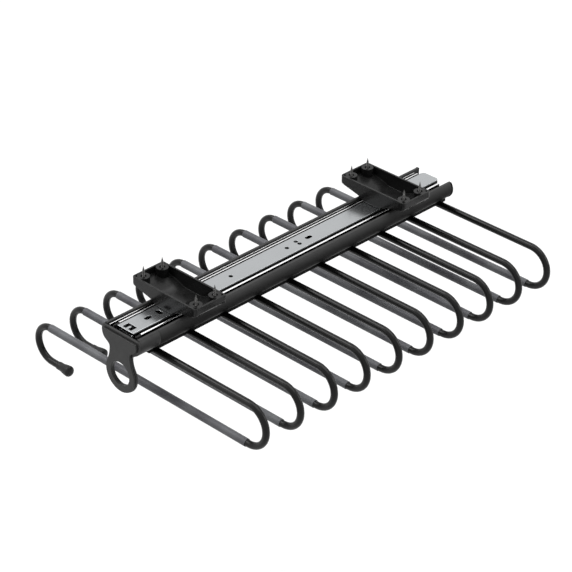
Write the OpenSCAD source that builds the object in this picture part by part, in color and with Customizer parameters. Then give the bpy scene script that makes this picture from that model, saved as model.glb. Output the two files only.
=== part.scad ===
// Pull out trouser rack that hangs under a wardrobe shelf.
// Two moulded trays are screwed up into the shelf and carry a full extension ball slide, web upwards.
// The slide's outer member lies in a black casing, and the bent hangers are screwed up under the casing.
// X runs along the hangers, Y from the front to the back and Z up.
// The origin lies on the shelf's underside, midway between the two trays.

/* [Hangers] */
// Number of hangers side by side
hanger_count = 10; // [9:1:12]
// Distance from one hanger to the next
hanger_pitch = 50; // [44:0.5:56]
// Diameter of the bent steel rod
rod_d = 7.3; // [6:0.1:7.6]
// Overall width of a hanger over its bends
hanger_w = 360.6; // [280:1:450]
// Centre line radius of the U bend, from the upper run to the lower run
u_bend_r = 24.2; // [19:0.1:28]
// Centre line radius of the back bend, from the lower run to the hook
hook_bend_r = 22; // [17:0.1:27]
// How far the upper bar runs past the beam's middle
bar_tail = 12; // [9:0.5:14]
// How far the upper bar's centre lies below the hanger rail
bar_sink = 1; // [0:0.1:2]
// Bare length of the hook's lip, from the bend to the tip's neck
lip_l = 10.2; // [4:0.1:40]

/* [Sleeves and tips] */
// Wall of the non-slip sleeve
sleeve_wall = 0.25; // [0.2:0.05:0.8]
// Bare rod between the sleeve's end and the U bend
sleeve_setback = 2; // [0:0.5:12]
// Largest diameter of the rubber tip
tip_d = 12.5; // [11:0.1:16]
// Diameter of the tip's neck
tip_neck_d = 8.8; // [8.4:0.1:10]
// Length of the tip's straight neck
tip_neck_l = 3; // [1:0.1:6]
// Length of the tip's flare
tip_flare_l = 14; // [8:0.1:20]
// Length of the tip's domed end
tip_dome_l = 4.1; // [2:0.1:6]
// Depth of the tip's socket for the rod
tip_socket = 15; // [8:0.1:15.5]

/* [Slide] */
// Total height of the slide
slide_h = 12.7; // [12:0.1:15]
// Width over the outer member
slide_w = 45.8; // [45:0.1:50]
// Width over the middle member
middle_w = 35.4; // [34.8:0.1:36]
// Width over the fixed inner member
fixed_w = 25.6; // [24.8:0.1:26.2]
// Sheet thickness of the three members
steel_t = 1.2; // [0.8:0.05:1.3]
// Depth of the fixed member from its web to its edges
fixed_depth = 9.5; // [8.5:0.1:9.6]
// How far the middle member's edges lie below the web
middle_drop = 1.2; // [0.5:0.1:2.5]
// How far the outer member's edges lie below the web
outer_drop = 2.9; // [1:0.1:3.4]
// Width of the middle member's inturned lips
middle_lip_w = 2.3; // [1.4:0.1:3]
// Gap between the flat bases of the sliding members
base_gap = 0.3; // [0.2:0.05:0.5]
// Radius of the fixed member's rear web corners
web_corner_r = 4.5; // [1:0.1:8]

/* [Balls] */
// Ball diameter
ball_d = 4.2; // [4:0.05:4.3]
// How far the balls' centres lie below the web
ball_drop = 6.4; // [6:0.1:6.8]
// Number of balls in each row
ball_count = 12; // [8:1:16]
// Thickness of the retainer strips
cage_t = 1.2; // [0.8:0.05:1.5]
// Height of the retainer strips
cage_h = 6; // [5.2:0.1:6.2]
// Length of the inner and outer retainers
cage_l = 230; // [180:1:236]

/* [Casing] */
// Depth of the casing under the slide
casing_depth = 11.4; // [9:0.1:16]
// Thickness of the floor that carries the slide
casing_floor_t = 1.8; // [1.4:0.1:2.4]
// Wall thickness of the casing's chambers
casing_wall = 1.7; // [1.2:0.1:2.2]
// How far the casing's top edges lie below the web
casing_drop = 0.6; // [0.4:0.1:1.2]
// Radius of the rounded side lobes
lobe_r = 12.5; // [12:0.1:13.5]
// How far a lobe's centre lies inside the channel's wall
lobe_inset = 6; // [5:0.1:6.5]
// How far a lobe's centre lies below the web
lobe_drop = 9.4; // [8.9:0.1:10]
// Slope of the casing's flanks below the lobes
flank_angle = 32.2; // [26:0.1:40]
// Width of the casing's middle rib, which takes the screws
rib_w = 10; // [8:0.5:14]
// From the casing's front end to the first hanger
casing_front_run = 5; // [4:0.5:10]
// From the last hanger to the casing's rear end
casing_back_run = 4; // [4:0.5:10]
// How far the casing's middle lies behind the trays' middle
casing_shift = 15.5; // [10:0.5:20]

/* [Hanger rail] */
// Width of the bar that carries the hangers
hanger_rail_w = 30.8; // [29:0.1:33]
// Height of that bar
hanger_rail_h = 8; // [6.5:0.1:12]
// Radius of its lower edges
hanger_rail_r = 5.5; // [3:0.1:6]
// Radius of its corners seen from above
hanger_rail_end_r = 3; // [2:0.1:12]
// From its front end to the first hanger
hanger_rail_front_run = 9; // [6:0.5:14]
// From the last hanger to its rear end
hanger_rail_back_run = 10.5; // [6:0.5:14]

/* [Front cap] */
// Length from the finger plate's face to the casing
cap_l = 32.2; // [26:0.1:40]
// Thickness of the finger plate
plate_t = 5; // [4:0.1:7]
// Outer radius of the finger ring
ring_r = 22.6; // [20:0.1:25]
// Radius of the finger hole
finger_r = 13.8; // [11:0.1:15]
// How far the ring's centre lies below the web
ring_drop = 51; // [47:0.1:60]
// Width of the plate's neck
neck_w = 32.6; // [28:0.1:33]
// Radius where the neck meets the cap
neck_fillet_r = 5; // [3:0.1:5.5]
// How far the face is drawn in from the casing's outline
face_inset = 3.4; // [2:0.1:3.8]
// How far the face is drawn in round the neck and ring
ring_inset = 0.7; // [0.4:0.1:1.4]
// How far the plate's top edge lies below the web
plate_drop = 2.1; // [1.2:0.1:3.2]
// How far the face's top edge lies below the web
face_drop = 5.2; // [4:0.1:6.5]
// Thickness of the raised face
face_t = 2.4; // [1:0.1:2.8]

/* [Rear cap] */
// Thickness of the rear cap's flange
rear_cap_t = 2.5; // [1.5:0.1:4]
// How far its rim stands proud of the casing
rear_rim = 0.5; // [0.2:0.1:1]

/* [Trays] */
// Distance between the two trays' middles
tray_spacing = 322; // [280:1:340]
// Length of a tray across the slide
tray_l = 97; // [94:0.5:104]
// Width of a tray along the slide
tray_w = 45; // [44:0.5:52]
// Height of a tray from the slide's web to the shelf
tray_h = 20.9; // [19:0.1:26]
// Thickness of the tray's upright walls
tray_wall = 2.2; // [1.6:0.1:2.4]
// Thickness of the tray's floor
tray_floor = 2.5; // [2:0.1:3]
// Radius of the tray's upright corners
tray_corner_r = 3; // [2.5:0.1:6]
// From a tray's end to its screws, across the slide
screw_inset_x = 8.5; // [8:0.1:10]
// From a tray's side to its screws, along the slide
screw_inset_y = 9; // [8.4:0.1:10]
// Diameter of the screw bosses
boss_d = 14; // [13:0.1:15]
// Distance between the two screws that hold a tray to the slide
tray_screw_spacing = 21; // [16:0.5:24]

/* [Screws] */
// Diameter of the wood screws
shelf_screw_d = 3.6; // [3:0.1:4.4]
// How far the wood screws stand above the tray
shelf_screw_reach = 12; // [8:0.5:20]
// Head diameter of the wood screws
shelf_head_d = 7.6; // [6.6:0.1:8.4]
// Head height of the wood screws
shelf_head_h = 2.4; // [1.8:0.1:2.6]
// How far the wood screws' heads are seated below the shelf
shelf_screw_seat = 9; // [7:0.1:9.2]
// Diameter of the screws between tray and slide
tray_screw_d = 4; // [3:0.1:4.5]
// Diameter of the screws between slide and casing
rail_screw_d = 3.5; // [3:0.1:4]
// How far those screws reach into the casing's rib
rail_screw_l = 8; // [5:0.1:9]
// Diameter of the long screws that hold the hangers
hanger_screw_d = 3; // [2.5:0.1:3.5]

/* [Hidden] */
$fn = 64;
// Number of screws between the slide's outer member and the casing
rail_screw_count = 4;
// Clearance between pieces of one body that fit in one another
fit_gap = 0.05;
// Running clearance between a ball and its groove
groove_gap = 0.1;
// Clearance between the casing's channel and the slide
channel_gap = 0.1;
// Clearance of a spigot in its chamber
spigot_gap = 0.15;
// Length of the cap spigots, and of the front ones' roots
spigot_l = 10;
spigot_root = 6;
// Overrun of every cut
over = 1;
// Wall of metal left under the screw in a hanger's rod
rod_floor = 1.4;
// Head size and depth of a countersunk screw, as shares of its diameter
countersunk_shares = [1.9, 0.5];
// Width of the bare shank under a wood screw's thread, as a share of the screw's diameter
shank_share = 0.9;
// Flats and depth of the hex socket, as shares of the screw's diameter
socket_shares = [0.7, 0.35];
// Length and end width of a wood screw's point, as shares of the screw's diameter
point_shares = [1.6, 0.12];

// Heights
web_z = -tray_h;
slide_bottom_z = web_z - slide_h;
casing_bottom_z = slide_bottom_z - casing_depth;
hanger_rail_bottom_z = casing_bottom_z - hanger_rail_h;
upper_z = hanger_rail_bottom_z - bar_sink;
lower_z = upper_z - 2 * u_bend_r;
hook_z = lower_z - 2 * hook_bend_r;
ball_z = web_z - ball_drop;
lobe_z = web_z - lobe_drop;
outer_top_z = web_z - outer_drop;
casing_top_z = web_z - casing_drop;
outer_base_z = slide_bottom_z + steel_t;
middle_base_z = outer_base_z + base_gap;
ring_z = web_z - ring_drop;

// Screw spacings in one tray
screw_spacing_x = tray_l - 2 * screw_inset_x;
screw_spacing_y = tray_w - 2 * screw_inset_y;

// Places across the slide
rod_r = rod_d / 2;
sleeve_bore_r = rod_r + fit_gap;
channel_half = slide_w / 2 + channel_gap;
lobe_x = channel_half - lobe_inset;
inner_row_x = (fixed_w + middle_w) / 4 - steel_t / 2;
outer_row_x = (middle_w + slide_w) / 4 - steel_t / 2;
bar_start_x = -bar_tail;
u_bend_x = hanger_w / 2 - rod_r - u_bend_r;
hook_bend_x = rod_r + hook_bend_r - hanger_w / 2;
tip_neck_x = hook_bend_x + lip_l;
tip_l = tip_neck_l + tip_flare_l + tip_dome_l;

// Places along the slide
row_l = (hanger_count - 1) * hanger_pitch;
casing_l = casing_front_run + row_l + casing_back_run;
casing_front_y = casing_shift - casing_l / 2;
casing_back_y = casing_front_y + casing_l;
first_hanger_y = casing_front_y + casing_front_run;
last_hanger_y = first_hanger_y + row_l;
face_y = casing_front_y - cap_l;
plate_back_y = face_y + plate_t;
// Front gap of the fixed member behind the plate, and its rear gap to the casing's end
fixed_front_gap = 3.7;
fixed_back_gap = 3.5;
fixed_front_y = plate_back_y + fixed_front_gap;
fixed_back_y = casing_back_y - fixed_back_gap;
fixed_l = fixed_back_y - fixed_front_y;
// Front setback of the middle member, the same again for its bumper, and its rear gap
middle_setback = 6.6;
middle_back_gap = 9;
middle_front_y = fixed_front_y + middle_setback;
middle_back_y = casing_back_y - middle_back_gap;
bumper_l = 6.5;
// The outer member starts just behind the plate
outer_front_gap = 2.1;
outer_back_gap = 8;
outer_front_y = plate_back_y + outer_front_gap;
outer_back_y = casing_back_y - outer_back_gap;
// Middle of both ball retainers
cage_y = (middle_front_y + middle_back_y) / 2;

function numbered(name, i) = str(name, "_", i < 10 ? "0" : "", i);
function hanger_y(i) = first_hanger_y + (i - 1) * hanger_pitch;

// Extrudes an X-Z outline along Y
module along_y(y0, y1) {
    translate([0, y1, 0])
        rotate([90, 0, 0])
            linear_extrude(height = y1 - y0) children();
}

// A round bar along X
module bar_x(x0, x1, r) {
    translate([x0, 0, 0])
        rotate([0, 90, 0]) cylinder(h = x1 - x0, r = r);
}

// A round bar along Y
module bar_y(y0, y1, r) {
    translate([0, y1, 0])
        rotate([90, 0, 0]) cylinder(h = y1 - y0, r = r);
}

// A rectangle given by its left, lower, right and upper sides
module sides(x0, y0, x1, y1) {
    translate([x0, y0]) square([x1 - x0, y1 - y0]);
}

// A slot with round ends, lying along X
module slot(length, width) {
    square([length - width, width], center = true);
    for (s = [-1, 1])
        translate([s * (length - width) / 2, 0]) circle(d = width);
}

// A rectangle with round corners, centred
module rounded_rect(length, width, r) {
    square([length - 2 * r, width], center = true);
    square([length, width - 2 * r], center = true);
    for (sx = [-1, 1], sy = [-1, 1])
        translate([sx * (length / 2 - r), sy * (width / 2 - r)]) circle(r = r);
}

// A countersunk screw that points down, with the top of its head at the origin
module countersunk_screw(d, length) {
    head_h = countersunk_shares[1] * d;
    head_r = countersunk_shares[0] * d / 2;
    difference() {
        union() {
            translate([0, 0, -head_h]) cylinder(h = head_h, r1 = d / 2, r2 = head_r);
            translate([0, 0, -length]) cylinder(h = length - head_h / 2, d = d);
        }
        translate([0, 0, -socket_shares[1] * d])
            cylinder(h = socket_shares[1] * d + over, d = socket_shares[0] * d, $fn = 6);
    }
}

// The hole for that screw, wider by the fit gap
module countersunk_hole(d, length) {
    head_h = countersunk_shares[1] * d;
    head_r = countersunk_shares[0] * d / 2;
    translate([0, 0, -head_h]) cylinder(h = head_h, r1 = d / 2 + fit_gap, r2 = head_r + fit_gap);
    translate([0, 0, -length]) cylinder(h = length, r = d / 2 + fit_gap);
    cylinder(h = over, r = head_r + fit_gap);
}

// Trays

// Outline of a tray's side, as shares of its half length and of its height
tray_outer_shares = [[1, 0], [1, 0.38], [0.985, 0.44], [0.94, 0.52], [0.65, 0.66], [0.4, 0.79],
                     [0.335, 0.86], [0.31, 1]];
// Shares at which the floor inside turns towards the slide
tray_inner_shares = [[1, 0.49], [0.93, 0.5], [0.65, 0.66], [0.4, 0.79], [0.3, 0.93]];
// Width and depth of the relief round each screw at the top of its boss, as shares of the boss
boss_relief_shares = [0.46, 0.11];
boss_relief_d = boss_relief_shares[0] * boss_d;
boss_relief_h = boss_relief_shares[1] * boss_d;

function mirrored(points) =
    concat(points, [for (i = [len(points) - 1:-1:0]) [-points[i][0], points[i][1]]]);

module tray_outline() {
    polygon(mirrored([for (p = tray_outer_shares) [p[0] * tray_l / 2, -p[1] * tray_h]]));
}

module tray_cavity_outline() {
    half = tray_l / 2 - tray_wall;
    polygon(mirrored(concat(
        [[half, over]],
        [for (p = tray_inner_shares) [p[0] * half, tray_floor - p[1] * tray_h]]
    )));
}

// One tray, with its middle at the origin
module tray() {
    difference() {
        union() {
            difference() {
                intersection() {
                    along_y(-tray_w / 2, tray_w / 2) tray_outline();
                    translate([0, 0, -tray_h])
                        linear_extrude(height = tray_h) rounded_rect(tray_l, tray_w, tray_corner_r);
                }
                intersection() {
                    along_y(tray_wall - tray_w / 2, tray_w / 2 - tray_wall) tray_cavity_outline();
                    translate([0, 0, -tray_h])
                        linear_extrude(height = tray_h + over)
                            rounded_rect(tray_l - 2 * tray_wall, tray_w - 2 * tray_wall,
                                         tray_corner_r - tray_wall);
                }
            }
            intersection() {
                along_y(-tray_w / 2, tray_w / 2) tray_outline();
                for (sx = [-1, 1], sy = [-1, 1])
                    translate([sx * screw_spacing_x / 2, sy * screw_spacing_y / 2, -tray_h])
                        cylinder(h = tray_h, d = boss_d);
            }
        }
        for (sx = [-1, 1], sy = [-1, 1])
            translate([sx * screw_spacing_x / 2, sy * screw_spacing_y / 2, 0]) {
                translate([0, 0, -shelf_screw_seat - over])
                    cylinder(h = shelf_screw_seat + 2 * over, r = shelf_screw_d / 2 + fit_gap);
                translate([0, 0, -tray_h])
                    cylinder(h = tray_h - shelf_screw_seat, r = shelf_head_d / 2 + fit_gap);
                translate([0, 0, -boss_relief_h])
                    cylinder(h = boss_relief_h + over, d = boss_relief_d);
            }
        for (s = [-1, 1])
            translate([0, s * tray_screw_spacing / 2, tray_inner_z])
                countersunk_hole(tray_screw_d, tray_h);
    }
}

// Height of the tray's floor over the slide
tray_inner_z = tray_floor - tray_inner_shares[4][1] * tray_h;

module front_bracket() {
    color([0.13, 0.13, 0.14]) translate([0, -tray_spacing / 2, 0]) tray();
}

module rear_bracket() {
    color([0.13, 0.13, 0.14]) translate([0, tray_spacing / 2, 0]) tray();
}

// A wood screw that points up, with its seat at the origin, and a thread above the bare shank
module wood_screw(shank_l, reach) {
    point_l = point_shares[0] * shelf_screw_d;
    difference() {
        union() {
            translate([0, 0, -shelf_head_h]) cylinder(h = shelf_head_h, d = shelf_head_d);
            cylinder(h = shank_l, d = shank_share * shelf_screw_d);
            translate([0, 0, shank_l]) cylinder(h = reach - point_l - shank_l, d = shelf_screw_d);
            translate([0, 0, reach - point_l])
                cylinder(h = point_l, d1 = shelf_screw_d, d2 = point_shares[1] * shelf_screw_d);
        }
        translate([0, 0, -shelf_head_h - over])
            cylinder(h = over + shelf_head_h / 2, d = shelf_screw_d, $fn = 6);
    }
}

module shelf_screws() {
    color([0.75, 0.76, 0.78])
        for (st = [-1, 1], sx = [-1, 1], sy = [-1, 1])
            translate([sx * screw_spacing_x / 2,
                       st * tray_spacing / 2 + sy * screw_spacing_y / 2, -shelf_screw_seat])
                wood_screw(shelf_screw_seat - boss_relief_h, shelf_screw_seat + shelf_screw_reach);
}

module bracket_screws() {
    // They reach past the web by their own diameter
    length = tray_inner_z - web_z + steel_t + tray_screw_d;
    color([0.1, 0.1, 0.1])
        for (st = [-1, 1], s = [-1, 1])
            translate([0, st * tray_spacing / 2 + s * tray_screw_spacing / 2, tray_inner_z])
                countersunk_screw(tray_screw_d, length);
}

// Slide

// Pierced pattern of the web: place along the fixed member as a share of its length, kind of hole
// 1 is a slot along Y, 2 a slot along X, 3 a round hole, 4 a pair of round holes
web_pattern_shares = [[0.0671, 1], [0.1001, 2], [0.3186, 3], [0.4985, 3], [0.534, 4], [0.5701, 1]];
// Slots and holes in the web
web_slot_l = 9.2;
web_slot_w = 3.2;
web_hole_d = 3;
web_pair_spacing = 6.6;
// The window with a tongue at the front end of the web
web_window_l = 12;
web_window_w = 8;
web_window_setback = 2.6;
web_tongue_l = 6;
web_tongue_w = 4.5;
web_tongue_gap = 1.6;

module web_hole(kind) {
    if (kind == 1) rotate([0, 0, 90]) slot(web_slot_l, web_slot_w);
    if (kind == 2) slot(web_slot_l, web_slot_w);
    if (kind == 3) circle(d = web_hole_d);
    if (kind == 4)
        for (s = [-1, 1])
            translate([s * web_pair_spacing / 2, 0]) circle(d = web_hole_d);
}

// The window's outline leaves a tongue that is held at the front
module web_window() {
    difference() {
        sides(-web_window_l / 2, 0, web_window_l / 2, web_window_w);
        sides(-web_tongue_l / 2, -over, web_tongue_l / 2, web_tongue_w);
        sides(web_tongue_l / 2 - web_tongue_gap, -over, web_window_l / 2 - web_tongue_gap, web_tongue_gap);
    }
}

module fixed_section() {
    difference() {
        union() {
            sides(-fixed_w / 2, web_z - fixed_depth, fixed_w / 2, web_z - steel_t);
            sides(steel_t - fixed_w / 2, web_z - steel_t, fixed_w / 2 - steel_t, web_z);
            for (s = [-1, 1])
                translate([s * (fixed_w / 2 - steel_t), web_z - steel_t]) circle(r = steel_t);
        }
        sides(steel_t - fixed_w / 2, web_z - fixed_depth - over, fixed_w / 2 - steel_t, web_z - steel_t);
        for (s = [-1, 1])
            translate([s * inner_row_x, ball_z]) circle(r = ball_d / 2 + groove_gap);
    }
}

module fixed_rail() {
    color([0.72, 0.74, 0.75])
        difference() {
            along_y(fixed_front_y, fixed_back_y) fixed_section();
            // rear corners of the web
            for (s = [-1, 1])
                translate([s * fixed_w / 2, fixed_back_y, web_z - fixed_depth - over])
                    linear_extrude(height = fixed_depth + 2 * over)
                        difference() {
                            square(2 * web_corner_r, center = true);
                            translate([-s * web_corner_r, -web_corner_r]) circle(r = web_corner_r);
                        }
            // pierced pattern
            translate([0, 0, web_z - steel_t - over])
                linear_extrude(height = steel_t + 2 * over) {
                    for (p = web_pattern_shares)
                        translate([0, fixed_front_y + p[0] * fixed_l]) web_hole(p[1]);
                    translate([0, fixed_front_y + web_window_setback]) web_window();
                    for (st = [-1, 1], s = [-1, 1])
                        translate([0, st * tray_spacing / 2 + s * tray_screw_spacing / 2])
                            circle(r = tray_screw_d / 2 + fit_gap);
                }
        }
}

// A channel whose walls end in inturned lips
module middle_section() {
    lip_x = (middle_w - middle_lip_w) / 2;
    difference() {
        union() {
            difference() {
                sides(-middle_w / 2, middle_base_z, middle_w / 2, web_z - middle_drop);
                sides(steel_t - middle_w / 2, middle_base_z + steel_t, middle_w / 2 - steel_t, web_z);
            }
            for (s = [-1, 1])
                translate([s * lip_x - middle_lip_w / 2, web_z - middle_drop - steel_t])
                    square([middle_lip_w, steel_t]);
        }
        for (s = [-1, 1]) {
            translate([s * inner_row_x, ball_z]) circle(r = ball_d / 2 + groove_gap);
            translate([s * outer_row_x, ball_z]) circle(r = ball_d / 2 + groove_gap);
        }
    }
}

module middle_rail() {
    color([0.78, 0.79, 0.8])
        along_y(middle_front_y, middle_back_y) middle_section();
}

// How much thicker than the member the bumper's walls are
bumper_extra = 0.8;

module middle_bumper() {
    color([0.08, 0.08, 0.08])
        along_y(middle_front_y - bumper_l, middle_front_y)
            difference() {
                sides(-middle_w / 2, middle_base_z, middle_w / 2, web_z - middle_drop - steel_t);
                sides(steel_t + bumper_extra - middle_w / 2, middle_base_z + steel_t,
                      middle_w / 2 - steel_t - bumper_extra, web_z);
            }
}

// Holes of the outer member, midway between hangers
function rail_screw_y(i) =
    (hanger_y(rail_screw_bay(i)) + hanger_y(rail_screw_bay(i) + 1)) / 2;

// The hanger in front of each of those screws, spread evenly over the row
function rail_screw_bay(i) = 1 + floor((hanger_count - 1) * (2 * i + 1) / (2 * rail_screw_count));

module outer_section() {
    difference() {
        sides(-slide_w / 2, slide_bottom_z, slide_w / 2, outer_top_z);
        sides(steel_t - slide_w / 2, outer_base_z, slide_w / 2 - steel_t, outer_top_z + over);
        for (s = [-1, 1])
            translate([s * outer_row_x, ball_z]) circle(r = ball_d / 2 + groove_gap);
    }
}

module outer_rail() {
    color([0.78, 0.79, 0.8])
        difference() {
            along_y(outer_front_y, outer_back_y) outer_section();
            for (i = [0:rail_screw_count - 1])
                translate([0, rail_screw_y(i), outer_base_z])
                    countersunk_hole(rail_screw_d, steel_t + over);
        }
}

// One retainer strip for each side, with a round hole for each ball
module cage(row_x) {
    for (s = [-1, 1])
        difference() {
            translate([s * row_x, 0, 0])
                along_y(cage_y - cage_l / 2, cage_y + cage_l / 2)
                    sides(-cage_t / 2, ball_z - cage_h / 2, cage_t / 2, ball_z + cage_h / 2);
            for (i = [0:ball_count - 1])
                translate([s * row_x, ball_y(i), ball_z])
                    bar_x(-cage_t / 2 - over, cage_t / 2 + over, ball_d / 2 + fit_gap);
        }
}

function ball_y(i) = cage_y + ((i + 0.5) / ball_count - 0.5) * cage_l;

module ball_rows(row_x) {
    for (s = [-1, 1], i = [0:ball_count - 1])
        translate([s * row_x, ball_y(i), ball_z]) sphere(d = ball_d);
}

module inner_cage() {
    color([0.6, 0.6, 0.62]) cage(inner_row_x);
}

module inner_balls() {
    color([0.85, 0.86, 0.88]) ball_rows(inner_row_x);
}

module outer_cage() {
    color([0.6, 0.6, 0.62]) cage(outer_row_x);
}

module outer_balls() {
    color([0.85, 0.86, 0.88]) ball_rows(outer_row_x);
}

// Beam

// A block with the casing's outline, drawn in by inset and cut off flat at top_z
module beam_block(y0, y1, inset, top_z) {
    r = lobe_r - inset;
    bottom = casing_bottom_z + inset;
    tangent_x = lobe_x + r * sin(flank_angle);
    tangent_z = lobe_z - r * cos(flank_angle);
    foot_x = tangent_x - (tangent_z - bottom) / tan(flank_angle);
    difference() {
        union() {
            for (s = [-1, 1])
                translate([s * lobe_x, 0, lobe_z]) bar_y(y0, y1, r);
            along_y(y0, y1)
                polygon([[tangent_x, tangent_z], [foot_x, bottom], [-foot_x, bottom],
                         [-tangent_x, tangent_z], [-lobe_x, lobe_z], [-lobe_x, top_z],
                         [lobe_x, top_z], [lobe_x, lobe_z]]);
        }
        along_y(y0 - over, y1 + over)
            sides(-lobe_x - lobe_r, top_z, lobe_x + lobe_r, web_z + lobe_r);
    }
}

// The channel that holds the slide
module channel_outline() {
    sides(-channel_half, slide_bottom_z, channel_half, web_z + over);
}

// Chamber under the channel on one side, drawn in by a gap
module floor_chamber_outline(gap) {
    sides(rib_w / 2 + gap, casing_bottom_z + casing_wall + gap,
          lobe_x - casing_wall - gap, slide_bottom_z - casing_floor_t - gap);
}

// Chamber inside one lobe
module lobe_chamber_outline() {
    intersection() {
        translate([lobe_x, lobe_z]) circle(r = lobe_r - casing_wall);
        sides(channel_half + casing_wall, lobe_z - lobe_r, lobe_x + lobe_r, lobe_z + lobe_r);
    }
}

module both_sides() {
    children();
    mirror([1, 0]) children();
}

// The hollow extrusion
module hollow_beam(y0, y1) {
    difference() {
        beam_block(y0, y1, 0, casing_top_z);
        along_y(y0 - over, y1 + over) channel_outline();
        along_y(y0 - over, y1 + over) both_sides() floor_chamber_outline(0);
        along_y(y0 - over, y1 + over) both_sides() lobe_chamber_outline();
    }
}

module casing() {
    color([0.14, 0.14, 0.15])
        difference() {
            hollow_beam(casing_front_y, casing_back_y);
            for (i = [0:rail_screw_count - 1])
                translate([0, rail_screw_y(i), outer_base_z])
                    countersunk_hole(rail_screw_d, steel_t + rail_screw_l + fit_gap);
            for (i = [1:hanger_count])
                translate([0, hanger_y(i), slide_bottom_z])
                    countersunk_hole(hanger_screw_d, casing_depth + over);
        }
}

module rail_screws() {
    color([0.7, 0.7, 0.72])
        for (i = [0:rail_screw_count - 1])
            translate([0, rail_screw_y(i), outer_base_z])
                countersunk_screw(rail_screw_d, steel_t + rail_screw_l);
}

// How deep the hanger screws reach, down from the casing's floor
hanger_screw_l = slide_bottom_z - (upper_z - rod_r + rod_floor);

module hanger_screws() {
    color([0.3, 0.3, 0.32])
        for (i = [1:hanger_count])
            translate([0, hanger_y(i), slide_bottom_z])
                countersunk_screw(hanger_screw_d, hanger_screw_l);
}

module hanger_rail_section() {
    half = hanger_rail_w / 2;
    corner_z = hanger_rail_bottom_z + hanger_rail_r;
    sides(-half, corner_z, half, casing_bottom_z);
    sides(hanger_rail_r - half, hanger_rail_bottom_z, half - hanger_rail_r, casing_bottom_z);
    for (s = [-1, 1])
        translate([s * (half - hanger_rail_r), corner_z]) circle(r = hanger_rail_r);
}

module hanger_rail() {
    half = hanger_rail_w / 2;
    front_y = first_hanger_y - hanger_rail_front_run;
    back_y = last_hanger_y + hanger_rail_back_run;
    color([0.1, 0.1, 0.11])
        difference() {
            intersection() {
                along_y(front_y, back_y) hanger_rail_section();
                translate([0, (front_y + back_y) / 2, hanger_rail_bottom_z - over])
                    linear_extrude(height = over + hanger_rail_h)
                        rounded_rect(hanger_rail_w, back_y - front_y, hanger_rail_end_r);
            }
            for (i = [1:hanger_count])
                translate([0, hanger_y(i), 0]) {
                    translate([0, 0, upper_z])
                        bar_x(bar_start_x - fit_gap, half + over, rod_r + fit_gap);
                    translate([0, 0, hanger_rail_bottom_z - over])
                        cylinder(h = hanger_rail_h + 2 * over, r = hanger_screw_d / 2 + fit_gap);
                }
        }
}

// Caps

// How deep the neck's fillet circles reach past the flanks, so that the curves cross
neck_fillet_sink = 0.05;

// Neck and finger ring of one layer of the plate, under the casing's outline drawn in by inset
module pull_layer(y0, y1, inset, neck_half, radius) {
    tangent_x = lobe_x + (lobe_r - inset) * sin(flank_angle);
    tangent_z = lobe_z - (lobe_r - inset) * cos(flank_angle);
    fillet_x = neck_half + neck_fillet_r;
    flank_z = tangent_z - (tangent_x - fillet_x) * tan(flank_angle);
    waist_z = flank_z - (neck_fillet_r - neck_fillet_sink) / cos(flank_angle);
    join_x = fillet_x - 2 * neck_fillet_r * sin(flank_angle);
    join_z = waist_z + 2 * neck_fillet_r * cos(flank_angle);
    waist_drop = waist_z - ring_z;
    waist_x = (waist_drop * waist_drop - pow(radius - neck_half, 2)) / (2 * (radius - neck_half));
    waist_r = waist_x - neck_half;
    touch = radius / (radius + waist_r);
    touch_x = waist_x * touch;
    touch_z = ring_z + waist_drop * touch;
    difference() {
        union() {
            translate([0, 0, ring_z]) bar_y(y0, y1, radius);
            difference() {
                along_y(y0, y1) {
                    polygon([[touch_x, touch_z], [waist_x, waist_z], [-waist_x, waist_z],
                             [-touch_x, touch_z]]);
                    polygon([[fillet_x, waist_z], [join_x, join_z], [-join_x, join_z],
                             [-fillet_x, waist_z]]);
                }
                for (s = [-1, 1]) {
                    translate([s * waist_x, 0, waist_z]) bar_y(y0 - over, y1 + over, waist_r);
                    translate([s * fillet_x, 0, waist_z]) bar_y(y0 - over, y1 + over, neck_fillet_r);
                }
            }
        }
        translate([0, 0, ring_z]) bar_y(y0 - over, y1 + over, finger_r);
    }
}

module front_cap() {
    step_y = face_y + face_t;
    neck_half = neck_w / 2;
    color([0.16, 0.16, 0.17]) {
        // sleeve round the slide's front end
        hollow_beam(plate_back_y, casing_front_y);
        // plate with its raised face
        beam_block(step_y, plate_back_y, 0, web_z - plate_drop);
        pull_layer(step_y, plate_back_y, 0, neck_half, ring_r);
        beam_block(face_y, step_y, face_inset, web_z - face_drop);
        pull_layer(face_y, step_y, face_inset, neck_half - ring_inset, ring_r - ring_inset);
        // spigots, each on a root that fills its chamber
        along_y(casing_front_y - spigot_root, casing_front_y) both_sides() floor_chamber_outline(0);
        along_y(casing_front_y - spigot_root, casing_front_y + spigot_l)
            both_sides() floor_chamber_outline(spigot_gap);
    }
}

module rear_cap() {
    color([0.1, 0.1, 0.1]) {
        difference() {
            beam_block(casing_back_y, casing_back_y + rear_cap_t, -rear_rim, casing_top_z);
            along_y(casing_back_y - over, casing_back_y + rear_cap_t + over) channel_outline();
            // flush underside, over the hanger rail
            along_y(casing_back_y - over, casing_back_y + rear_cap_t + over)
                sides(-lobe_x, casing_bottom_z - lobe_r, lobe_x, casing_bottom_z);
        }
        along_y(casing_back_y - spigot_l, casing_back_y + rear_cap_t / 2)
            both_sides() floor_chamber_outline(spigot_gap);
    }
}

// Hangers

module half_bend(radius, turn) {
    rotate([90, 0, 0])
        rotate([0, 0, turn])
            rotate_extrude(angle = 180) translate([radius, 0]) circle(r = rod_r);
}

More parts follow.
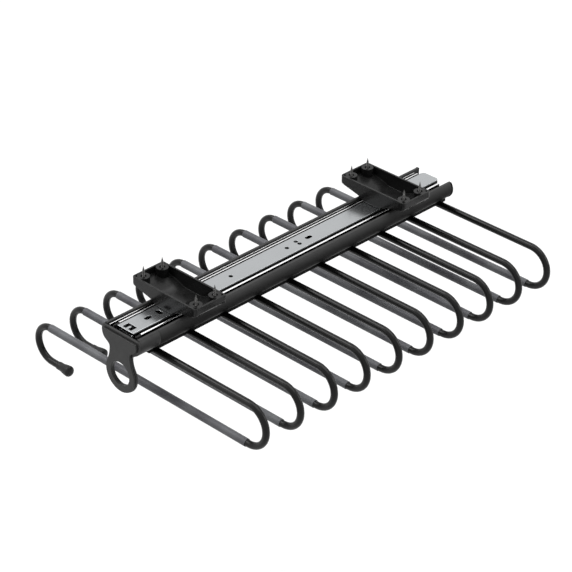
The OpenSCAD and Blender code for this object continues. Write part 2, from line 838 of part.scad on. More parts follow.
module trouser_bar(i) {
    color([0.12, 0.12, 0.13])
        translate([0, hanger_y(i), 0])
            difference() {
                union() {
                    translate([0, 0, upper_z]) bar_x(bar_start_x, u_bend_x, rod_r);
                    translate([u_bend_x, 0, (upper_z + lower_z) / 2]) half_bend(u_bend_r, -90);
                    translate([0, 0, lower_z]) bar_x(hook_bend_x, u_bend_x, rod_r);
                    translate([hook_bend_x, 0, (lower_z + hook_z) / 2]) half_bend(hook_bend_r, 90);
                    translate([0, 0, hook_z])
                        bar_x(hook_bend_x, tip_neck_x + tip_socket - fit_gap, rod_r);
                }
                translate([0, 0, upper_z - rod_r + rod_floor - fit_gap])
                    cylinder(h = rod_d, r = hanger_screw_d / 2 + fit_gap);
            }
}

module bar_sleeve(i) {
    color([0.34, 0.35, 0.38])
        translate([0, hanger_y(i), lower_z])
            difference() {
                bar_x(hook_bend_x, u_bend_x - sleeve_setback, sleeve_bore_r + sleeve_wall);
                bar_x(hook_bend_x - over, u_bend_x, sleeve_bore_r);
            }
}

// Half profile of the rubber tip: length along the rod, radius
flare_steps = 6;
dome_steps = 6;
function tip_profile() = concat(
    [[0, tip_neck_d / 2]],
    [for (k = [0:flare_steps])
        [tip_neck_l + tip_flare_l * k / flare_steps,
         tip_neck_d / 2 + (tip_d - tip_neck_d) / 2 * pow(sin(90 * k / flare_steps), 2)]],
    [for (k = [1:dome_steps])
        [tip_neck_l + tip_flare_l + tip_dome_l * sin(90 * k / dome_steps),
         tip_d / 2 * cos(90 * k / dome_steps)]],
    [[tip_l, 0], [tip_socket, 0], [tip_socket, rod_r + fit_gap], [0, rod_r + fit_gap]]
);

module bar_tip(i) {
    color([0.1, 0.1, 0.1])
        translate([tip_neck_x, hanger_y(i), hook_z])
            rotate([0, 90, 0])
                rotate_extrude() polygon([for (p = tip_profile()) [p[1], p[0]]]);
}

front_bracket();
rear_bracket();
shelf_screws();
bracket_screws();
fixed_rail();
middle_rail();
middle_bumper();
inner_cage();
inner_balls();
outer_cage();
outer_balls();
outer_rail();
casing();
front_cap();
rear_cap();
hanger_rail();
rail_screws();
hanger_screws();
for (i = [1:hanger_count]) {
    trouser_bar(i);
    bar_sleeve(i);
    bar_tip(i);
}
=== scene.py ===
import math
import bmesh
import bpy
from mathutils import Matrix, Vector


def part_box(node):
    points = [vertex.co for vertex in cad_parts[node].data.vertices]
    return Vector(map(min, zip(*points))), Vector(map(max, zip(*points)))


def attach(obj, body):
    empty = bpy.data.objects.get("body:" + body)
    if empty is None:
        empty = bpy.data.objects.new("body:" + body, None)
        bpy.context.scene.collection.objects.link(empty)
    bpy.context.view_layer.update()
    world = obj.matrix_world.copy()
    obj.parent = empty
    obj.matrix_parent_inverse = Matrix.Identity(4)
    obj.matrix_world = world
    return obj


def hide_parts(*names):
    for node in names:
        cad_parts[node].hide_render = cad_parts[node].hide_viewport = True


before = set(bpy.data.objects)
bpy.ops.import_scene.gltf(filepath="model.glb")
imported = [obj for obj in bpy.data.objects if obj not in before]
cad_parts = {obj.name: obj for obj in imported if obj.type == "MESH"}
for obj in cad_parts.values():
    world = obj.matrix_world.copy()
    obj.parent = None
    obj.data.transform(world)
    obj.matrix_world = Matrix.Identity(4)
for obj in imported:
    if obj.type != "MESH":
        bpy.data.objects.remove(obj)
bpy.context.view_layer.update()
scene = bpy.context.scene
mm = 0.001  # all shapes below are worked out in millimetres
print("frame loaded")


# Heights and places that the frame gives, in millimetres

def boxOf(node):  # lowest and highest corner of a node
    low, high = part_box(node)
    return low / mm, high / mm


webTop = boxOf("fixed_rail")[1].z
slideBottom = boxOf("outer_rail")[0].z
casingLow, casingHigh = boxOf("casing")
railLow, railHigh = boxOf("hanger_rail")
faceY = boxOf("front_cap")[0].y
hangerCount = len([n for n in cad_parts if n.startswith("trouser_bar")])


# Shader maths

class Wire:  # a node's output that takes part in sums
    def __init__(self, nodes, socket):
        self.nodes = nodes
        self.socket = socket

    def maths(self, kind, first, second):
        return self.nodes.node("ShaderNodeMath", {"operation": kind}, {0: first, 1: second})

    def __add__(self, other):
        return self.maths("ADD", self, other)

    def __radd__(self, other):
        return self.maths("ADD", other, self)

    def __sub__(self, other):
        return self.maths("SUBTRACT", self, other)

    def __rsub__(self, other):
        return self.maths("SUBTRACT", other, self)

    def __mul__(self, other):
        return self.maths("MULTIPLY", self, other)

    def __rmul__(self, other):
        return self.maths("MULTIPLY", other, self)


class Nodes:  # one tree of shader nodes
    def __init__(self, tree):
        self.tree = tree

    def node(self, kind, settings, inputs, output=0):
        made = self.tree.nodes.new(kind)
        for key, value in settings.items():
            setattr(made, key, value)
        for key, value in inputs.items():
            self.plug(made.inputs[key], value)
        return Wire(self, made.outputs[output])

    def plug(self, socket, value):
        if isinstance(value, Wire):
            self.tree.links.new(value.socket, socket)
        else:
            socket.default_value = value

    def seenRays(self):  # 1 for what the camera sees straight, in a reflection or through glass
        straight, mirrored, through = (self.node("ShaderNodeLightPath", {}, {}, "Is %s Ray" % kind)
                                       for kind in ("Camera", "Glossy", "Transmission"))
        seen = self.node("ShaderNodeMath", {"operation": "MAXIMUM"}, {0: straight, 1: mirrored})
        return self.node("ShaderNodeMath", {"operation": "MAXIMUM"}, {0: seen, 1: through})


class Finish(Nodes):  # one material with its nodes
    noiseRange = (0.3, 0.7)  # where nearly all of a noise texture's values lie

    def __init__(self, name, constants):
        self.material = bpy.data.materials.new(name)
        self.material.use_nodes = True
        super().__init__(self.material.node_tree)
        self.shader = self.tree.nodes["Principled BSDF"]
        for socketName, value in constants.items():
            self.shader.inputs[socketName].default_value = value
        self.place = self.node("ShaderNodeTexCoord", {}, {}, "Object")

    def feed(self, socketName, value):
        self.plug(self.shader.inputs[socketName], value)

    def noise(self, size, detail=3, along=None):  # size in millimetres, along scales each axis
        vector = self.place
        if along is not None:
            vector = self.node("ShaderNodeMapping", {}, {"Vector": self.place, "Scale": along})
        return self.node("ShaderNodeTexNoise", {},
                         {"Vector": vector, "Scale": 1 / (size * mm), "Detail": detail})

    def ranged(self, wire, fromLow, fromHigh, low=0, high=1):
        return self.node("ShaderNodeMapRange", {"clamp": True},
                         {"Value": wire, "From Min": fromLow, "From Max": fromHigh,
                          "To Min": low, "To Max": high})

    def spread(self, wire, low=0, high=1):  # draws a noise apart to the whole of low..high
        return self.ranged(wire, *self.noiseRange, low, high)

    def height(self, low, high):  # 0 below low and 1 above high, in millimetres
        z = self.node("ShaderNodeSeparateXYZ", {}, {0: self.place}, 2)
        return self.ranged(z, low * mm, high * mm)

    def blend(self, factor, first, second):
        return self.node("ShaderNodeMix", {"data_type": "RGBA"}, {0: factor, 6: first, 7: second}, 2)

    def bump(self, height, depth, under=None):  # depth in millimetres
        inputs = {"Height": height, "Distance": depth * mm, "Strength": 1.0}
        if under is not None:
            inputs["Normal"] = under
        return self.node("ShaderNodeBump", {}, inputs)


def tone(value, tint=(1, 1, 1)):
    return (value * tint[0], value * tint[1], value * tint[2], 1)


# Finishes

variety = {  # how far a finish strays from the values of its look
    "plasticRough": 0.05, "plasticGrain": 0.08, "roughCloud": 0.35, "coatSmoother": 0.04, "coatRougher": 0.06,
    "steelStreak": 0.6, "steelCloud": 0.4, "smearSolid": 0.7, "sleeveRough": 0.06, "fleckTone": 1.5}


def mouldedPlastic(name, look):
    finish = Finish(name, {"Specular IOR Level": look["shine"]})
    cloud = finish.spread(finish.noise(look["cloud"]))
    grain = finish.noise(look["grain"], 2)
    finish.feed("Base Color", finish.blend(cloud, tone(look["dark"]), tone(look["light"])))
    rough = finish.spread(finish.noise(look["cloud"] * variety["roughCloud"]),
                          look["rough"] - variety["plasticRough"], look["rough"] + variety["plasticRough"])
    finish.feed("Roughness", rough + (grain - 0.5) * variety["plasticGrain"])
    sink = finish.bump(cloud, look["sink"])
    finish.feed("Normal", finish.bump(grain, look["grainDepth"], sink))
    return finish.material


def powderCoat(name, look):
    finish = Finish(name, {"Specular IOR Level": look["shine"]})
    peel = finish.noise(look["peel"], 2)
    cloud = finish.spread(finish.noise(look["cloud"]))
    colour = finish.blend(cloud, tone(look["dark"]), tone(look["light"]))
    if "fade" in look:  # painted shade: the colour darkens towards the bottom, standing in for the light from above
        lit = finish.height(webTop - look["fade"], webTop - look["full"])
        colour = finish.blend(lit, tone(look["deep"]), colour)
    finish.feed("Base Color", colour)
    finish.feed("Roughness", finish.spread(peel, look["rough"] - variety["coatSmoother"],
                                           look["rough"] + variety["coatRougher"]))
    finish.feed("Normal", finish.bump(peel, look["peelDepth"]))
    return finish.material


def rolledSteel(name, look):
    finish = Finish(name, {"Metallic": 1.0})
    streak = finish.spread(finish.noise(look["streak"], 4, look["along"]))
    cloud = finish.spread(finish.noise(look["cloud"]))
    mixed = streak * variety["steelStreak"] + cloud * variety["steelCloud"]
    colour = finish.blend(mixed, tone(look["dark"], look["tint"]), tone(look["light"], look["tint"]))
    if "shade" in look:  # painted shade: a band along the sides below the bright top edge is darkened, for the shade in the gaps between the members
        top = webTop - look["shade"]
        bright = finish.height(top, webTop - look["clear"])
        band = finish.height(top - look["smear"], top - look["smear"] * variety["smearSolid"])
        shadedSteel = finish.blend(bright, tone(look["gapShadeTone"]), colour)
        colour = finish.blend(band, colour, shadedSteel)
    finish.feed("Base Color", colour)
    finish.feed("Roughness", mixed * look["roughSpread"] + look["rough"])
    finish.feed("Normal", finish.bump(streak, look["streakDepth"]))
    return finish.material


def softSleeve(name, look):
    finish = Finish(name, {"Specular IOR Level": look["shine"]})
    band = finish.spread(finish.noise(look["band"], 2, look["bandAlong"]))
    lines = finish.noise(look["lines"], 3, look["linesAlong"])
    grain = finish.noise(look["grain"], 2)
    colour = finish.blend(band, tone(look["dark"], look["coolTint"]), tone(look["light"], look["warmTint"]))
    fleck = finish.spread(grain, 0, look["fleck"])
    finish.feed("Base Color", finish.blend(fleck, colour, tone(look["light"] * variety["fleckTone"])))
    finish.feed("Roughness", finish.spread(grain, look["rough"] - variety["sleeveRough"],
                                           look["rough"] + variety["sleeveRough"]))
    finish.feed("Normal", finish.bump(grain, look["grainDepth"], finish.bump(lines, look["lineDepth"])))
    return finish.material


plasticLook = {
    "tray": {"dark": 0.008, "light": 0.013, "shine": 0.22, "rough": 0.24, "cloud": 22, "sink": 0.05,
             "grain": 0.45, "grainDepth": 0.012},
    "cap": {"dark": 0.028, "light": 0.036, "shine": 0.25, "rough": 0.42, "cloud": 15, "sink": 0.03,
            "grain": 0.4, "grainDepth": 0.015},
    "rearCap": {"dark": 0.006, "light": 0.009, "shine": 0.15, "rough": 0.45, "cloud": 15, "sink": 0.03,
                "grain": 0.4, "grainDepth": 0.015},
    "bumper": {"dark": 0.01, "light": 0.016, "shine": 0.2, "rough": 0.5, "cloud": 8, "sink": 0.01,
               "grain": 0.3, "grainDepth": 0.015},
    "tip": {"dark": 0.009, "light": 0.014, "shine": 0.25, "rough": 0.45, "cloud": 6, "sink": 0.02,
            "grain": 0.25, "grainDepth": 0.02}}
# painted shade: the casing look's last three values darken its base colour towards the bottom, for the light
# from above
paintLook = {
    "casing": {"dark": 0.064, "light": 0.076, "shine": 0.02, "rough": 0.4, "cloud": 30, "peel": 0.7,
               "peelDepth": 0.02, "full": 1, "fade": 14, "deep": 0.012},
    "bar": {"dark": 0.004, "light": 0.007, "shine": 0.2, "rough": 0.27, "cloud": 25, "peel": 0.6,
            "peelDepth": 0.015},
    "rail": {"dark": 0.003, "light": 0.005, "shine": 0.05, "rough": 0.5, "cloud": 25, "peel": 0.6,
             "peelDepth": 0.02},
    "screw": {"dark": 0.01, "light": 0.02, "shine": 0.3, "rough": 0.35, "cloud": 2, "peel": 0.3,
              "peelDepth": 0.01}}
# painted shade: the tone and band values of the rail, middle and outer looks darken a band along the members'
# sides, for the shade in the gaps between them
steelLook = {
    "rail": {"dark": 0.455, "light": 0.485, "tint": (0.97, 1.0, 1.02), "rough": 0.2, "roughSpread": 0.04,
             "streak": 0.5, "along": (1, 0.015, 1), "cloud": 18, "streakDepth": 0.001,
             "shade": 0.55, "clear": 0.03, "gapShadeTone": 0.02, "smear": 5},
    # painted highlight: the middle and outer members get a brighter base than the fixed member's steel,
    # standing in for the highlights on their rounded lips
    "middle": {"dark": 0.8, "light": 0.92, "tint": (1, 1, 1), "rough": 0.16, "roughSpread": 0.08,
               "streak": 0.5, "along": (1, 0.015, 1), "cloud": 18, "streakDepth": 0.003,
               "shade": 1.9, "clear": 1.4, "gapShadeTone": 0.02, "smear": 5},
    "outer": {"dark": 0.55, "light": 0.65, "tint": (1, 1, 1), "rough": 0.2, "roughSpread": 0.08,
              "streak": 0.5, "along": (1, 0.015, 1), "cloud": 18, "streakDepth": 0.003,
              "shade": 3.6, "clear": 3.1, "gapShadeTone": 0.02, "smear": 4},
    "cage": {"dark": 0.06, "light": 0.12, "tint": (1, 1, 1), "rough": 0.3, "roughSpread": 0.12,
             "streak": 0.8, "along": (1, 0.05, 1), "cloud": 9, "streakDepth": 0.004},
    "ball": {"dark": 0.5, "light": 0.6, "tint": (1, 1, 1), "rough": 0.05, "roughSpread": 0.05,
             "streak": 2, "along": (1, 1, 1), "cloud": 3, "streakDepth": 0.0005},
    "screw": {"dark": 0.05, "light": 0.12, "tint": (1.0, 0.99, 0.97), "rough": 0.22, "roughSpread": 0.15,
              "streak": 0.6, "along": (1, 1, 1), "cloud": 3, "streakDepth": 0.006}}
sleeveLook = {"dark": 0.055, "light": 0.155, "coolTint": (1.0, 0.97, 1.2), "warmTint": (0.97, 1.0, 1.06),
              "shine": 0.2, "rough": 0.42, "band": 30, "bandAlong": (1, 0.25, 0.25), "lines": 0.8,
              "linesAlong": (0.02, 1, 1), "lineDepth": 0.05, "grain": 0.35, "grainDepth": 0.03, "fleck": 0.3}

trayPlastic = mouldedPlastic("trayPlastic", plasticLook["tray"])
capPlastic = mouldedPlastic("capPlastic", plasticLook["cap"])
rearCapPlastic = mouldedPlastic("rearCapPlastic", plasticLook["rearCap"])
bumperPlastic = mouldedPlastic("bumperPlastic", plasticLook["bumper"])
tipRubber = mouldedPlastic("tipRubber", plasticLook["tip"])
casingCoat = powderCoat("casingCoat", paintLook["casing"])
barCoat = powderCoat("barCoat", paintLook["bar"])
hangerRailCoat = powderCoat("hangerRailCoat", paintLook["rail"])
blackOxide = powderCoat("blackOxide", paintLook["screw"])
webSteel = rolledSteel("webSteel", steelLook["rail"])
middleSteel = rolledSteel("middleSteel", steelLook["middle"])
outerSteel = rolledSteel("outerSteel", steelLook["outer"])
cageSteel = rolledSteel("cageSteel", steelLook["cage"])
ballSteel = rolledSteel("ballSteel", steelLook["ball"])
screwZinc = rolledSteel("screwZinc", steelLook["screw"])
sleeveCoat = softSleeve("sleeveCoat", sleeveLook)
print("finishes made")


# Shape helpers, in millimetres

meshing = {"bendSteps": 6, "bevelSteps": 2, "mitreLimit": 0.3, "weld": 0.002, "dust": 0.001, "sharpDeg": 38}


def turnsRound(sides):  # evenly spaced angles of a full turn
    return [2 * math.pi * k / sides for k in range(sides)]


def bend(corners, closed=True):  # corners are (across, up, radius), and each becomes an arc
    points = []
    count = len(corners)
    steps = meshing["bendSteps"]
    for i, (across, up, radius) in enumerate(corners):
        here = Vector((across, up))
        if radius <= 0 or (not closed and i in (0, count - 1)):
            points.append(here)
            continue
        back = (Vector(corners[i - 1][:2]) - here).normalized()
        ahead = (Vector(corners[(i + 1) % count][:2]) - here).normalized()
        half = back.angle(ahead) / 2
        centre = here + (back + ahead).normalized() * (radius / math.sin(half))
        start = here + back * (radius / math.tan(half)) - centre
        end = here + ahead * (radius / math.tan(half)) - centre
        turn = start.angle_signed(end)
        points += [centre + Matrix.Rotation(-turn * k / steps, 2) @ start for k in range(steps + 1)]
    return points


def arc(centreX, centreZ, radius, fromDeg, toDeg, steps):
    turns = [math.radians(fromDeg + (toDeg - fromDeg) * k / steps) for k in range(steps + 1)]
    return [Vector((centreX + radius * math.cos(t), centreZ + radius * math.sin(t))) for t in turns]


def roundEnd(tip, direction, thickness):  # half a circle round the edge of a sheet
    side = Vector((direction.y, -direction.x))
    return [tip + direction * (math.sin(t) * thickness / 2) + side * (-math.cos(t) * thickness / 2)
            for t in [math.pi * k / 4 for k in range(1, 4)]]


def strip(corners, thickness):  # outline of bent sheet with rounded edges
    path = bend(corners, False)
    last = len(path) - 1
    left, right = [], []
    for i, point in enumerate(path):
        before = (point - path[max(i - 1, 0)]).normalized()
        after = (path[min(i + 1, last)] - point).normalized()
        along = (before + after).normalized()
        side = Vector((-along.y, along.x))
        turn = before.angle(after) / 2 if before.length and after.length else 0
        grow = thickness / 2 / max(meshing["mitreLimit"], math.cos(turn))
        left.append(point + side * grow)
        right.append(point - side * grow)
    endCap = roundEnd(path[-1], (path[-1] - path[-2]).normalized(), thickness)
    startCap = roundEnd(path[0], (path[0] - path[1]).normalized(), thickness)
    return left + endCap + right[::-1] + startCap


def flipped(points):  # the same outline on the other side
    return [Vector((-p[0], p[1])) for p in reversed(points)]


def evaluatedMesh(shape):  # the mesh of an object or curve with its modifiers
    return bpy.data.meshes.new_from_object(shape.evaluated_get(bpy.context.evaluated_depsgraph_get()))


def addPlate(work, outlines, low, high, rounding, axis="Y"):  # one outline, less those inside it
    curve = bpy.data.curves.new("outline", "CURVE")
    curve.dimensions = "2D"
    curve.fill_mode = "BOTH"
    curve.extrude = ((high - low) / 2 - rounding) * mm
    curve.bevel_depth = rounding * mm
    curve.bevel_resolution = meshing["bevelSteps"]
    curve.offset = -rounding * mm
    for outline in outlines:
        spline = curve.splines.new("POLY")
        spline.points.add(len(outline) - 1)
        for point, (across, up) in zip(spline.points, outline):
            point.co = (across * mm, up * mm, 0, 1)
        spline.use_cyclic_u = True
    holder = bpy.data.objects.new("outline", curve)
    scene.collection.objects.link(holder)
    mesh = evaluatedMesh(holder)
    middle = (low + high) / 2 * mm
    if axis == "Y":
        mesh.transform(Matrix.Translation((0, middle, 0)) @ Matrix.Rotation(math.pi / 2, 4, "X"))
    else:
        mesh.transform(Matrix.Translation((0, 0, middle)))
    work.from_mesh(mesh)
    bpy.data.objects.remove(holder)
    bpy.data.curves.remove(curve)
    bpy.data.meshes.remove(mesh)


def addRings(work, rings, closed=False, capped=True):  # quads between rings of points
    loops = [[work.verts.new(Vector(p) * mm) for p in ring] for ring in rings]
    count = len(loops[0])
    pairs = list(zip(loops, loops[1:]))
    if closed:
        pairs.append((loops[-1], loops[0]))
    for a, b in pairs:
        for k in range(count):
            n = (k + 1) % count
            work.faces.new((a[k], a[n], b[n], b[k]))
    if capped and not closed:
        work.faces.new(loops[0][::-1])
        work.faces.new(loops[-1])
    return loops


def addBar(work, outline, low, high):  # a plain length of one outline across the rack's depth
    addRings(work, [[(across, y, up) for across, up in outline] for y in (low, high)])


def addLathe(work, profile, centre, axis="Z", sides=32, closed=True):  # profile is (along, radius)
    rings = []
    for along, radius in profile:
        ring = []
        for t in turnsRound(sides):
            c, s = radius * math.cos(t), radius * math.sin(t)
            offset = {"X": (along, c, s), "Z": (c, s, along)}[axis]
            ring.append(Vector(centre) + Vector(offset))
        rings.append(ring)
    addRings(work, rings, closed)


def addTube(work, path, radii, y, sides=20):  # a rod that lies in the plane of one hanger
    rings = []
    last = len(path) - 1
    for i, point in enumerate(path):
        along = (path[min(i + 1, last)] - path[max(i - 1, 0)]).normalized()
        side = Vector((along.y, -along.x))
        ring = []
        for t in turnsRound(sides):
            flat = point + side * (radii[i] * math.cos(t))
            ring.append(Vector((flat.x, y + radii[i] * math.sin(t), flat.y)))
        rings.append(ring)
    addRings(work, rings)


def carved(work, tool, operation):  # joins or cuts two closed shapes
    objects = []
    for shape in (work, tool):
        mesh = bpy.data.meshes.new("shape")
        bmesh.ops.remove_doubles(shape, verts=shape.verts, dist=meshing["weld"] * mm)
        bmesh.ops.recalc_face_normals(shape, faces=shape.faces)
        shape.to_mesh(mesh)
        shape.free()
        made = bpy.data.objects.new("shape", mesh)
        scene.collection.objects.link(made)
        objects.append(made)
    modifier = objects[0].modifiers.new("carve", "BOOLEAN")
    modifier.object = objects[1]
    modifier.operation = operation
    modifier.solver = "EXACT"
    modifier.use_self = True
    bpy.context.view_layer.update()
    result = bmesh.new()
    result.from_mesh(evaluatedMesh(objects[0]))
    for made in objects:
        bpy.data.objects.remove(made)
    return result


def finished(work, name, body, material, node, sharpDeg=meshing["sharpDeg"]):  # stands for the CAD node
    bmesh.ops.remove_doubles(work, verts=work.verts, dist=meshing["weld"] * mm)
    bmesh.ops.dissolve_degenerate(work, edges=work.edges, dist=meshing["dust"] * mm)
    bmesh.ops.recalc_face_normals(work, faces=work.faces)
    for face in work.faces:
        face.smooth = True
    mesh = bpy.data.meshes.new(name)
    work.to_mesh(mesh)
    work.free()
    mesh.set_sharp_from_angle(angle=math.radians(sharpDeg))
    piece = bpy.data.objects.new(name, mesh)
    scene.collection.objects.link(piece)
    mesh.materials.append(material)
    even = piece.modifiers.new("evenShading", "WEIGHTED_NORMAL")
    even.keep_sharp = True
    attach(piece, body)
    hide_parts(node)


def coat(node, material):  # a better finish on a piece that keeps its shape
    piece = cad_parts[node]
    piece.data.materials.clear()
    piece.data.materials.append(material)


# Trays

trayShape = {"wall": 2.2, "floor": 2.5, "corner": 3.0, "edge": 0.45, "foot": 1.0, "screwAcross": 40,
             "screwAlong": 13.5, "boss": 7.0, "bossDrop": 0.15, "bossEdge": 0.4, "bossBevel": 0.12,
             "bossRoot": 1.0, "relief": 3.22, "reliefDepth": 1.54, "mouthDrop": 0.3, "mouthRise": 0.2,
             "mouthFlare": 0.5, "headBore": 3.85, "seat": -9.0, "screwBore": 1.85, "innerCorner": 0.8,
             "innerFoot": 0.35, "ease": 4.0, "easeSteps": 4, "cornerSteps": 6, "endRoom": 0.6, "sharpDeg": 32}
trayOuterShares = [  # (share of half the length, share of the depth), from the end to the middle
    (1, 0.38), (0.985, 0.44), (0.94, 0.52), (0.65, 0.66), (0.4, 0.79), (0.335, 0.86), (0.31, 1)]
trayInnerShares = [(1, 0.49), (0.93, 0.5), (0.65, 0.66), (0.4, 0.79), (0.3, 0.93)]


def cornerAt(profile, x):  # height of a profile at x
    x = abs(x)
    if x <= profile[-1][0]:
        return profile[-1][1]
    for (x1, z1), (x0, z0) in zip(profile, profile[1:]):
        if x0 <= x <= x1:
            return z0 + (z1 - z0) * (x - x0) / (x1 - x0)
    return profile[0][1]


def heightAt(profile, x):  # the same with the profile's corners eased
    steps = trayShape["easeSteps"]
    spread = min(trayShape["ease"], profile[0][0] - abs(x))
    return sum(cornerAt(profile, x + spread * k / steps) for k in range(-steps, steps + 1)) / (2 * steps + 1)


def trayPlan(half, width, corner, stations):  # front half of a tray's plan, with the way inwards
    right = arc(half - corner, -width + corner, corner, -90, 0, trayShape["cornerSteps"])
    front = flipped(right) + [Vector((x, -width)) for x in stations] + right
    inwards = []
    for p in front:
        centre = Vector((max(-half + corner, min(half - corner, p[0])), -width + corner))
        inwards.append((centre - p).normalized())
    return front, inwards


def roundedLoops(edge, foot, side):  # (inset, rule, lift) of each loop, down from the rim to the floor
    quarter = [math.radians(a) for a in (0, 30, 60, 90)]
    rim = [(side * edge * (1 - math.sin(a)), "rim", edge * (math.cos(a) - 1)) for a in quarter]
    return rim + [(foot * (1 - math.cos(a)), "floor", foot * (1 - math.sin(a))) for a in quarter]


def addTrough(work, plan, profile, loops):  # walls round a plan, and a floor of strips
    front, inwards = plan
    count = len(front)
    rings = []
    for inset, rule, lift in loops:
        ring = []
        for side in (-1, 1):
            for i in range(count) if side < 0 else reversed(range(count)):
                q = front[i] + inwards[i] * inset
                z = lift if rule == "rim" else heightAt(profile, q.x) + lift
                ring.append(Vector((q.x, -side * q.y, z)))
        rings.append(ring)
    made = addRings(work, rings, False, False)
    last = made[-1]
    for i in range(count - 1):
        work.faces.new((last[i], last[i + 1], last[2 * count - 2 - i], last[2 * count - 1 - i]))
    return made[0]


def addTrayShell(work, half, width, height):
    s = trayShape
    outer = [(p[0] * half, p[1] * -height) for p in trayOuterShares]
    innerHalf, innerWidth = half - s["wall"], width - s["wall"]
    inner = [(p[0] * innerHalf, s["floor"] - p[1] * height) for p in trayInnerShares]
    reach = innerHalf - s["innerCorner"] - s["endRoom"]
    count = int(reach)
    stations = [reach * k / count for k in range(-count, count + 1)]
    outside = addTrough(work, trayPlan(half, width, s["corner"], stations), outer,
                        roundedLoops(s["edge"], s["foot"], 1))
    inside = addTrough(work, trayPlan(innerHalf, innerWidth, s["innerCorner"], stations), inner,
                       roundedLoops(s["edge"], s["innerFoot"], -1))
    count = len(outside)
    for k in range(count):
        n = (k + 1) % count
        work.faces.new((outside[k], outside[n], inside[n], inside[k]))
    return outer


def makeTray(name, node):
    s = trayShape
    low, high = boxOf(node)
    height = high.z - low.z
    work = bmesh.new()
    outer = addTrayShell(work, (high.x - low.x) / 2, (high.y - low.y) / 2, height)
    middleY = (low.y + high.y) / 2
    bmesh.ops.translate(work, verts=work.verts, vec=(0, middleY * mm, 0))
    posts, bores = bmesh.new(), bmesh.new()
    r, top, flare = s["boss"], -s["bossDrop"], s["relief"] + s["mouthFlare"]
    foot = heightAt(outer, s["screwAcross"]) + s["bossRoot"]
    for sx in (-1, 1):
        for sy in (-1, 1):
            spot = (sx * s["screwAcross"], middleY + sy * s["screwAlong"], 0)
            addLathe(posts, [(foot, r), (top - s["bossEdge"], r), (top - s["bossBevel"], r - s["bossBevel"]),
                             (top, r - s["bossEdge"])], spot, sides=40, closed=False)
            addLathe(bores, [(-height, s["headBore"]), (s["seat"], s["headBore"]),
                             (s["seat"], s["screwBore"]), (-s["reliefDepth"], s["screwBore"]),
                             (-s["reliefDepth"], s["relief"]), (top - s["mouthDrop"], s["relief"]),
                             (top + s["mouthRise"], flare), (1, flare)], spot, closed=False)
    work = carved(work, posts, "UNION")
    work = carved(work, bores, "DIFFERENCE")
    finished(work, name, "mount", trayPlastic, node, s["sharpDeg"])


makeTray("front_tray", "front_bracket")
makeTray("rear_tray", "rear_bracket")
print("trays made")


# Wood screws through the trays

woodScrewShape = {"radius": 1.6, "core": 1.05, "shank": 1.35, "pitch": 1.5, "rowsPerTurn": 8, "crest": 5,
                  "reach": 12, "point": 5.8, "taper": 0.8, "pointShare": 0.06, "head": 3.8,
                  "headHeight": 2.4, "seat": -9.0, "threadFrom": -1.5, "runIn": 0.5, "sharpDeg": 50}
screwHeadShares = [(1, 0.75), (0.8, 0.93), (0.5, 1), (0, 1)]  # (share of the height, share of the radius)


def addWoodScrew(work, x, y):
    s = woodScrewShape
    turns = turnsRound(20)
    profile = [(s["seat"] - s["headHeight"] * down, s["head"] * out) for down, out in screwHeadShares]
    profile += [(s["seat"], s["shank"]), (s["threadFrom"] - s["runIn"], s["shank"])]
    rings = [[(x + r * math.cos(t), y + r * math.sin(t), z) for t in turns] for z, r in profile]
    step = s["pitch"] / s["rowsPerTurn"]
    for row in range(int((s["reach"] - s["threadFrom"]) / step) + 1):
        z = s["threadFrom"] + row * step
        left = s["reach"] - z
        slim = 1 if left > s["point"] else max(s["pointShare"], left / s["point"]) ** s["taper"]
        ring = []
        for k, t in enumerate(turns):
            phase = (z / s["pitch"] - k / len(turns)) % 1
            crest = max(0, 1 - abs(phase - 0.5) * s["crest"])
            r = (s["core"] + (s["radius"] - s["core"]) * crest) * slim
            ring.append((x + r * math.cos(t), y + r * math.sin(t), z))
        rings.append(ring)
    addRings(work, rings)


work = bmesh.new()
for node in ("front_bracket", "rear_bracket"):
    low, high = boxOf(node)
    for sx in (-1, 1):
        for sy in (-1, 1):
            addWoodScrew(work, sx * trayShape["screwAcross"],
                         (low.y + high.y) / 2 + sy * trayShape["screwAlong"])
finished(work, "wood_screws", "mount", screwZinc, "shelf_screws", woodScrewShape["sharpDeg"])
print("wood screws made")


# Slide

slideShape = {"sheet": 1.2, "fixedHalf": 12.8, "fixedDepth": 9.5, "middleHalf": 17.7, "outerHalf": 22.9,
              "middleLip": 2.3, "fixedRound": 1.1, "webCorner": 4.5, "frontCorner": 0.3, "edge": 0.15,
              "topBend": 0.62, "bottomBend": 1.0}
flankShape = {"overlap": 0.4, "thinner": 0.02, "setback": 0.3, "topBend": 1.3, "grooveTop": 4.2,
              "grooveMiddle": 6.4, "grooveBottom": 8.6, "grooveDepth": 0.35, "edgeBend": 1.5,
              "grooveBend": 2.5}
webShares = [(0.0671, "along"), (0.1001, "across"), (0.3186, "round"), (0.4985, "round"), (0.534, "pair"),
             (0.5701, "along")]  # (share of the length, kind of hole)
webHoles = {"slotLength": 9.4, "slotWidth": 5.2, "round": 2.5, "pairGap": 2.9, "windowSetback": 2.4,
            "windowHalf": 6.5, "windowDepth": 8.6, "windowCorner": 0.3, "tongueHalf": 1.5, "tongueDepth": 5.8,
            "screw": 2.05, "screwAlong": 10.5, "trayAlong": 161}
slideCoats = {  # pieces that keep their CAD shape
    "inner_cage": cageSteel, "outer_cage": cageSteel, "inner_balls": ballSteel, "outer_balls": ballSteel,
    "rail_screws": screwZinc, "bracket_screws": blackOxide, "hanger_screws": blackOxide,
    "middle_bumper": bumperPlastic}


def slotOutline(y, halfX, halfY):
    r = min(halfX, halfY) * 0.999  # just short of a half circle, so that no two points meet
    near, far = y - halfY, y + halfY
    return bend([(-halfX, near, r), (halfX, near, r), (halfX, far, r), (-halfX, far, r)])


def circleOutline(x, y, radius, steps=32):
    return arc(x, y, radius, 0, 360 - 360 / steps, steps - 1)


